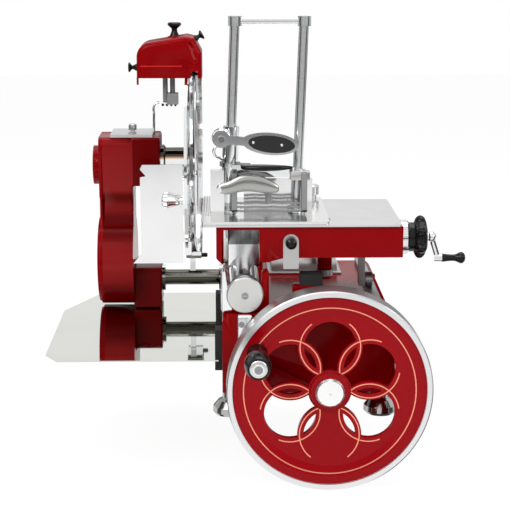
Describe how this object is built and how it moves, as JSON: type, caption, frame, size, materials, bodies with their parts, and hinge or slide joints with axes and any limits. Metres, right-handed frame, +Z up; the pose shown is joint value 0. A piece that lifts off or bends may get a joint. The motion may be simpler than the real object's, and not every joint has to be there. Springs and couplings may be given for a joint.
{
  "type": "hand crank meat slicer",
  "caption": "Red hand crank meat slicer with a big flywheel, round knife, sliding food table, clamp on two rods, thickness dial and knife sharpener.",
  "frame": {"origin": "centre of the four feet's bolt pattern, on the plane of their undersides", "axes": "+X to the operator's right, from the knife towards the feed crank; +Y away from the operator and the flywheel, towards the back; +Z up"},
  "size_m": [0.6885, 0.669, 0.747],
  "materials": {
    "red_paint": "glossy deep red enamel",
    "grey_paint": "satin grey enamel",
    "chrome": "mirror",
    "polished_steel": "finely polished",
    "machine_steel": "machined, oiled",
    "aluminium": "satin",
    "bronze": "machined",
    "black_plastic": "glossy",
    "black_rubber": "matte"
  },
  "bodies": {
    "frame": {"feet": "chrome", "base_casting": "red_paint", "gear_cover": "grey_paint", "roller_rail": "machine_steel", "stop_buffer": "black_rubber", "shaft_bushes": "bronze", "tie_tube": "chrome", "drive_case": "red_paint", "case_cover": "red_paint", "case_lid": "grey_paint", "drive_chain": "machine_steel", "bearing_tube": "chrome", "knife_guard": "aluminium", "guard_knob": "black_plastic", "receiving_tray": "polished_steel", "tray_hooks": "black_rubber", "slide_bar": "chrome", "bar_cap": "chrome", "bar_saddles": "aluminium"},
    "flywheel": {"flywheel": "red_paint", "handle_bolt": "chrome", "main_shaft": "machine_steel", "hub_cap": "chrome"},
    "wheel_grip": {"wheel_grip": "black_plastic"},
    "upright": {"upright_shaft": "machine_steel", "crank_arm": "machine_steel"},
    "cross": {"cross_shaft": "machine_steel"},
    "knife": {"knife": "polished_steel", "knife_shaft": "machine_steel"},
    "carriage": {"carriage": "red_paint", "bar_sleeve": "chrome", "deck_plate": "aluminium", "latch_plate": "chrome", "roller_hanger": "machine_steel", "end_cap": "chrome", "feed_dial": "black_plastic"},
    "rod": {"connecting_rod": "machine_steel"},
    "latch": {"latch_knob": "black_plastic"},
    "roller": {"track_roller": "machine_steel"},
    "thick": {"thickness_knob": "black_plastic"},
    "crank": {"feed_crank": "chrome"},
    "grip": {"crank_grip": "black_plastic"},
    "table": {"food_table": "polished_steel", "fence": "polished_steel", "table_knob": "aluminium", "clamp_rods": "chrome"},
    "clamp": {"clamp_frame": "chrome", "gripper": "polished_steel"},
    "lever": {"clamp_lever": "chrome"},
    "lowlever": {"low_lever": "chrome"},
    "fish": {"fish_handle": "chrome"},
    "deflector": {"deflector": "polished_steel"},
    "sharpener": {"sharpener_block": "chrome", "sharpener_cover": "red_paint", "right_stone": "machine_steel"},
    "topknob": {"top_knob": "black_plastic"},
    "leftknob": {"left_knob": "black_plastic"},
    "rightknob": {"right_knob": "black_plastic"}
  },
  "joints": [
    {"name": "flywheel_spin", "type": "hinge", "parent": "frame", "child": "flywheel", "pos_m": [0.034, -0.25, 0.066], "axis": [0, 1, 0], "continuous": true},
    {"name": "wheel_grip_spin", "type": "hinge", "parent": "flywheel", "child": "wheel_grip", "pos_m": [-0.08164, -0.29, 0.13169], "axis": [0, 1, 0], "continuous": true},
    {"name": "upright_spin", "type": "hinge", "parent": "frame", "child": "upright", "pos_m": [0.034, 0.155, 0.12], "axis": [0, 0, 1], "continuous": true},
    {"name": "cross_spin", "type": "hinge", "parent": "frame", "child": "cross", "pos_m": [-0.1, 0.155, 0.16], "axis": [1, 0, 0], "continuous": true},
    {"name": "knife_spin", "type": "hinge", "parent": "frame", "child": "knife", "pos_m": [-0.187, 0.155, 0.37], "axis": [1, 0, 0], "continuous": true},
    {"name": "carriage_slide", "type": "slide", "parent": "frame", "child": "carriage", "axis": [0, 1, 0], "range_m": [0, 0.16]},
    {"name": "rod_swing", "type": "hinge", "parent": "carriage", "child": "rod", "pos_m": [0.034, -0.095, 0.227], "axis": [0, 0, 1], "range_deg": [-28, 28]},
    {"name": "latch_pull", "type": "slide", "parent": "carriage", "child": "latch", "axis": [0, -1, 0], "range_m": [0, 0.006], "stiffness_N_per_m": 400},
    {"name": "roller_spin", "type": "hinge", "parent": "carriage", "child": "roller", "pos_m": [0.113, -0.04, 0.2011], "axis": [1, 0, 0], "range_deg": [-720, 0]},
    {"name": "thickness_turn", "type": "hinge", "parent": "carriage", "child": "thick", "pos_m": [0.1885, -0.12, 0.291], "axis": [1, 0, 0], "range_deg": [0, 270]},
    {"name": "feed_turn", "type": "hinge", "parent": "carriage", "child": "crank", "pos_m": [0.207, -0.12, 0.291], "axis": [1, 0, 0], "range_deg": [0, 2162]},
    {"name": "feed_grip_spin", "type": "hinge", "parent": "crank", "child": "grip", "pos_m": [0.239, -0.12, 0.2555], "axis": [1, 0, 0], "continuous": true},
    {"name": "table_slide", "type": "slide", "parent": "carriage", "child": "table", "axis": [1, 0, 0], "range_m": [0, 0.096]},
    {"name": "clamp_slide", "type": "slide", "parent": "table", "child": "clamp", "axis": [0.0366, 0, 0.9993], "range_m": [0, 0.15]},
    {"name": "clamp_lever_lift", "type": "hinge", "parent": "clamp", "child": "lever", "pos_m": [-0.137, -0.106, 0.452], "axis": [0, -1, 0], "range_deg": [0, 70]},
    {"name": "low_lever_swing", "type": "hinge", "parent": "clamp", "child": "lowlever", "pos_m": [-0.12314, -0.085, 0.404], "axis": [-0.0366, 0, -0.9993], "range_deg": [0, 70]},
    {"name": "fish_handle_drop", "type": "hinge", "parent": "table", "child": "fish", "pos_m": [-0.141, -0.119, 0.372], "axis": [0, 1, 0], "range_deg": [0, 20]},
    {"name": "deflector_swing", "type": "hinge", "parent": "frame", "child": "deflector", "pos_m": [-0.197, 0.052, 0.28], "axis": [0, 0, -1], "range_deg": [0, 25]},
    {"name": "sharpener_lower", "type": "slide", "parent": "frame", "child": "sharpener", "axis": [0, 0, -1], "range_m": [0, 0.01]},
    {"name": "top_knob_turn", "type": "hinge", "parent": "sharpener", "child": "topknob", "pos_m": [-0.22, 0.155, 0.62], "axis": [0, 0, 1], "range_deg": [0, 270]},
    {"name": "left_knob_pull", "type": "slide", "parent": "sharpener", "child": "leftknob", "axis": [-1, 0, 0], "range_m": [0, 0.004], "stiffness_N_per_m": 300},
    {"name": "right_knob_pull", "type": "slide", "parent": "sharpener", "child": "rightknob", "axis": [0.866, 0, 0.5], "range_m": [0, 0.004], "stiffness_N_per_m": 300}
  ],
  "couplings": [
    {"joint": "upright_spin", "follows": "flywheel_spin", "ratio": 1},
    {"joint": "cross_spin", "follows": "flywheel_spin", "ratio": -1},
    {"joint": "knife_spin", "follows": "flywheel_spin", "ratio": -1.3333},
    {"joint": "roller_spin", "follows": "carriage_slide", "rad_per_m": -76.923},
    {"joint": "feed_turn", "follows": "table_slide", "rad_per_m": 392.7}
  ]
}
